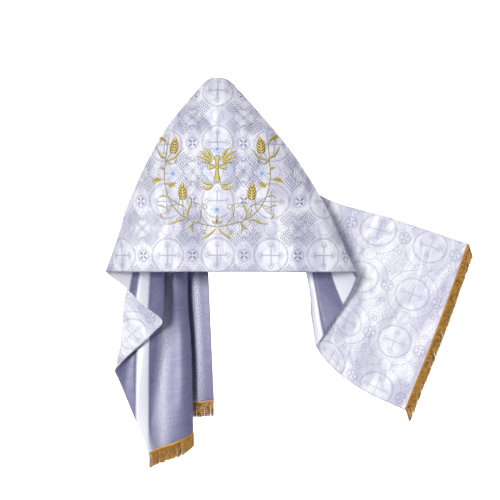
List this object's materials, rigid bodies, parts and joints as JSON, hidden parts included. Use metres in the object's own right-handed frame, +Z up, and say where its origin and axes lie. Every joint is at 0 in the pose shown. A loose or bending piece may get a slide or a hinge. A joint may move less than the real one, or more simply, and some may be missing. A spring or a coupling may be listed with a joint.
{
  "type": "humeral veil",
  "caption": "Long rectangular damask shoulder veil with a satin lining, an embroidered back and bullion fringe on its ends, draped open at the front as worn.",
  "frame": {"origin": "middle of the neck hollow, level with the top of the nape edge, where the wearer's neck and shoulders hold the veil up", "axes": "+Z up, +Y the way the wearer faces, +X to the wearer's right, so the embroidered back looks towards -Y"},
  "size_m": [1.1834, 0.3858, 1.2433],
  "materials": {
    "brocade": "silvery white jacquard damask with a soft sheen",
    "satin_lining": "pale blue-grey satin",
    "gold_fringe": "twisted gold bullion thread"
  },
  "bodies": {
    "root": {"shell_left_front_fall": "brocade", "shell_left_shoulder": "brocade", "shell_back": "brocade", "shell_right_shoulder": "brocade", "shell_right_end": "brocade", "lining_left_front_fall": "satin_lining", "lining_left_shoulder": "satin_lining", "lining_back": "satin_lining", "lining_right_shoulder": "satin_lining", "lining_right_end": "satin_lining", "fringe_left": "gold_fringe", "fringe_right": "gold_fringe"}
  },
  "joints": []
}
